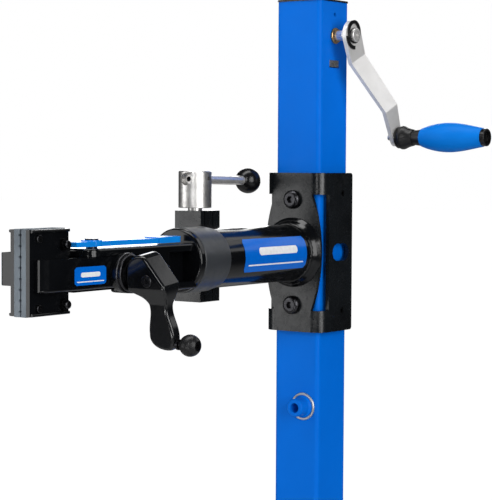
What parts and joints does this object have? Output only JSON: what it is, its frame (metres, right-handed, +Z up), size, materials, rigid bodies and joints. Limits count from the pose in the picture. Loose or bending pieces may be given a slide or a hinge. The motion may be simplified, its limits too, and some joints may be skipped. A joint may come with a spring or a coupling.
{
  "type": "bike repair stand",
  "caption": "Square-post bike repair stand: crank-lifted carriage, round arm and a turning clamp head with rubber-faced jaws, cam lever and adjusting crank.",
  "frame": {"origin": "on the floor, on the centre line of the square post, at the underside of the floor plate", "axes": "+Z up along the post, -Y along the arm towards the clamp, +X towards the lift crank"},
  "size_m": [0.56, 0.735, 1.5556],
  "materials": {
    "blue_paint": "gloss powder coat",
    "base_paint": "black textured powder coat",
    "black_paint": "gloss black paint with orange peel",
    "satin_black": "satin black",
    "blue_lever": "gloss blue",
    "black_plastic": "smooth black",
    "blue_grip": "soft moulded, satin",
    "clamp_rubber": "matt grey rubber",
    "steel": "brushed nickel-plated",
    "dark_steel": "black oxide",
    "zinc_steel": "zinc plated",
    "nylon": "natural nylon",
    "bronze": "turned bronze"
  },
  "bodies": {
    "stand": {"base_plate": "base_paint", "foot_flange": "blue_paint", "foot_gussets": "blue_paint", "base_bolts": "zinc_steel", "post_tube": "blue_paint", "post_cap": "black_plastic", "tray_boss": "blue_paint", "crank_bushings": "steel", "upper_bearing_plate": "zinc_steel", "thrust_bearing": "zinc_steel", "lower_bearing_bracket": "black_paint", "lower_bracket_screws": "zinc_steel"},
    "lifting_screw": {"lead_screw": "zinc_steel", "screw_bevel_gear": "zinc_steel"},
    "lift_crank": {"crank_shaft": "steel", "crank_bevel_gear": "zinc_steel", "crank_arm": "steel", "crank_clip": "dark_steel", "grip_bolt": "zinc_steel", "grip_nut": "zinc_steel"},
    "crank_grip": {"grip_core": "black_plastic", "grip_cover": "blue_grip", "grip_end_cap": "black_plastic"},
    "carriage": {"carriage_frame": "black_paint", "carriage_back_channel": "black_paint", "arm_tube": "black_paint", "arm_weld_collar": "black_paint", "tube_end_ring": "black_paint", "clamp_lugs": "black_paint", "front_cap_screws": "dark_steel", "side_set_screws": "dark_steel", "front_glide_pads": "nylon", "side_glide_pads": "nylon", "rear_glide_pads": "nylon", "nut_bracket": "black_paint", "lift_nut": "bronze", "nut_bracket_bolts": "zinc_steel"},
    "lock_handle": {"lock_bolt": "steel", "lock_hub": "steel", "lock_rod": "steel", "lock_ball": "black_plastic"},
    "clamp_head": {"head_body": "black_paint", "swivel_ring": "satin_black", "guide_block": "black_paint"},
    "near_jaw": {"near_jaw_bar": "black_paint", "near_pad": "clamp_rubber", "near_pad_screws": "dark_steel"},
    "far_jaw": {"far_jaw_arm": "black_paint", "far_pad": "clamp_rubber", "far_pad_screws": "dark_steel", "guide_rods": "dark_steel", "adjusting_nut": "bronze"},
    "cam_handle": {"cam_lever": "blue_lever", "cam_pin": "dark_steel"},
    "adjuster": {"adjusting_screw": "dark_steel", "adjuster_collars": "dark_steel", "adjusting_crank": "satin_black", "hub_set_screw": "dark_steel", "ball_stud": "dark_steel"},
    "adjuster_knob": {"ball_knob": "black_plastic"}
  },
  "joints": [
    {"name": "carriage_lift", "type": "slide", "parent": "stand", "child": "carriage", "axis": [0, 0, 1], "range_m": [-0.07, 0.14]},
    {"name": "lead_screw_spin", "type": "hinge", "parent": "stand", "child": "lifting_screw", "pos_m": [0, 0, 1.25], "axis": [0, 0, 1], "range_deg": [-8410, 4210]},
    {"name": "lift_crank_turn", "type": "hinge", "parent": "stand", "child": "lift_crank", "pos_m": [0, 0, 1.5118], "axis": [1, 0, 0], "range_deg": [-8410, 4210]},
    {"name": "grip_spin", "type": "hinge", "parent": "lift_crank", "child": "crank_grip", "pos_m": [0.15, 0.05302, 1.38928], "axis": [1, 0, 0], "continuous": true},
    {"name": "lock_handle_turn", "type": "hinge", "parent": "carriage", "child": "lock_handle", "pos_m": [-0.046, -0.177, 1.25], "axis": [0, 0, 1], "range_deg": [0, 170]},
    {"name": "head_rotation", "type": "hinge", "parent": "carriage", "child": "clamp_head", "pos_m": [0, -0.3, 1.25], "axis": [0, 1, 0], "continuous": true},
    {"name": "cam_jaw_slide", "type": "slide", "parent": "clamp_head", "child": "near_jaw", "axis": [1, 0, 0], "range_m": [0, 0.0035]},
    {"name": "cam_lever_turn", "type": "hinge", "parent": "clamp_head", "child": "cam_handle", "pos_m": [0.004, -0.421, 1.27], "axis": [0, 0, 1], "range_deg": [-0.5, 100.5]},
    {"name": "jaw_opening", "type": "slide", "parent": "clamp_head", "child": "far_jaw", "axis": [1, 0, 0], "range_m": [-0.04, 0]},
    {"name": "adjusting_crank_turn", "type": "hinge", "parent": "near_jaw", "child": "adjuster", "pos_m": [0.06, -0.4, 1.2441], "axis": [1, 0, 0], "range_deg": [-5, 3605]},
    {"name": "knob_spin", "type": "hinge", "parent": "adjuster", "child": "adjuster_knob", "pos_m": [0.1083, -0.38998, 1.1728], "axis": [1, 0, 0], "continuous": true}
  ],
  "couplings": [
    {"joint": "lead_screw_spin", "follows": "carriage_lift", "rad_per_m": -1047.2},
    {"joint": "lift_crank_turn", "follows": "carriage_lift", "rad_per_m": -1047.2},
    {"joint": "cam_lever_turn", "follows": "cam_jaw_slide", "rad_per_m": 498.67},
    {"joint": "adjusting_crank_turn", "follows": "jaw_opening", "rad_per_m": -1570.8}
  ]
}
